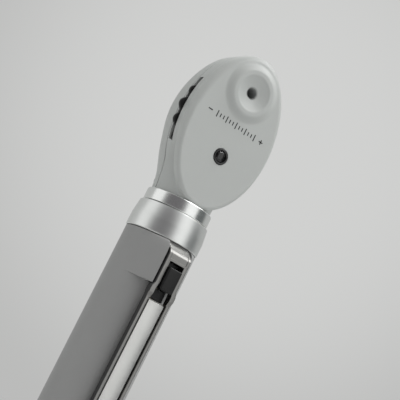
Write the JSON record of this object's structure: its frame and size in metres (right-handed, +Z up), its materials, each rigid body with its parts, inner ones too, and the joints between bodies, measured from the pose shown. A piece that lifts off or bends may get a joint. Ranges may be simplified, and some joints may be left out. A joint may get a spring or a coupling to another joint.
{
  "type": "pocket ophthalmoscope",
  "caption": "Pocket direct ophthalmoscope: flat oval head with sight hole and side lens wheel, metal collar, battery handle with thumb slide switch and pocket clip.",
  "frame": {"origin": "centre of the handle's flat foot", "axes": "+Z up the handle to the head, -Y the examiner's side with sight hole, switch and clip, +X the examiner's right"},
  "size_m": [0.029, 0.0245, 0.1714],
  "materials": {
    "head_plastic": "fine satin, light grey",
    "handle_plastic": "fine matte, mid grey",
    "black_plastic": "semi-gloss black",
    "satin_aluminium": "turned satin",
    "polished_aluminium": "turned, brighter",
    "clip_metal": "satin nickel",
    "silver_label": "bright silver foil",
    "brass": "plain",
    "optical_glass": "polished",
    "mirror": "front-silvered",
    "cell_sleeve": "printed sleeve, plain",
    "white_plastic": "plain",
    "steel": "plated"
  },
  "bodies": {
    "handle": {"handle_body": "handle_plastic", "collar": "satin_aluminium", "battery_spring": "steel", "battery_lower": "cell_sleeve", "battery_upper": "cell_sleeve", "contact_strip": "brass", "contact_insulator": "white_plastic", "contact_pin": "brass", "contact_spring": "steel", "switch_housing": "black_plastic", "clip_frame": "clip_metal"},
    "slider": {"switch_slider": "black_plastic", "switch_contact": "brass"},
    "clip": {"clip_bar": "clip_metal", "clip_label": "silver_label"},
    "lens_wheel": {"lens_disc": "black_plastic", "disc_lens_01": "optical_glass", "disc_lens_02": "optical_glass", "disc_lens_03": "optical_glass", "disc_lens_04": "optical_glass", "disc_lens_05": "optical_glass", "disc_lens_06": "optical_glass", "disc_lens_07": "optical_glass", "disc_lens_08": "optical_glass", "disc_lens_09": "optical_glass", "disc_lens_10": "optical_glass", "disc_lens_11": "optical_glass", "disc_lens_12": "optical_glass", "disc_lens_13": "optical_glass", "disc_lens_14": "optical_glass", "disc_lens_15": "optical_glass", "disc_lens_16": "optical_glass", "disc_lens_17": "optical_glass", "disc_lens_18": "optical_glass"},
    "aperture": {"aperture_wheel": "black_plastic"},
    "head": {"aperture_axle": "steel", "condenser_lens": "optical_glass", "detent_spring": "steel", "head_front_shell": "head_plastic", "head_rear_shell": "head_plastic", "head_ring": "polished_aluminium", "lamp_base": "steel", "lamp_bulb": "optical_glass", "lamp_socket": "brass", "lens_disc_axle": "steel", "mirror": "mirror", "number_window": "optical_glass", "number_window_bezel": "black_plastic", "objective_lens": "optical_glass", "optics_block": "black_plastic", "optics_tube": "black_plastic", "patient_window": "optical_glass", "shell_screw_left": "steel", "shell_screw_right": "steel", "shell_screw_top": "steel", "sight_tube": "black_plastic"}
  },
  "joints": [
    {"name": "switch_slide", "type": "slide", "parent": "handle", "child": "slider", "axis": [0, 0, -1], "range_m": [0, 0.0025]},
    {"name": "clip_flex", "type": "hinge", "parent": "handle", "child": "clip", "pos_m": [0, -0.0119, 0.1028], "axis": [-1, 0, 0], "range_deg": [0, 4], "stiffness_Nm_per_rad": 0.3},
    {"name": "head_twist", "type": "hinge", "parent": "handle", "child": "head", "pos_m": [0, 0, 0.1258], "axis": [0, 0, 1], "range_deg": [0, 90]},
    {"name": "lens_wheel_spin", "type": "hinge", "parent": "head", "child": "lens_wheel", "pos_m": [0, -0.0031, 0.1503], "axis": [0, 1, 0], "continuous": true},
    {"name": "aperture_spin", "type": "hinge", "parent": "head", "child": "aperture", "pos_m": [0, 0.0044, 0.1372], "axis": [0, 0, 1], "continuous": true}
  ]
}
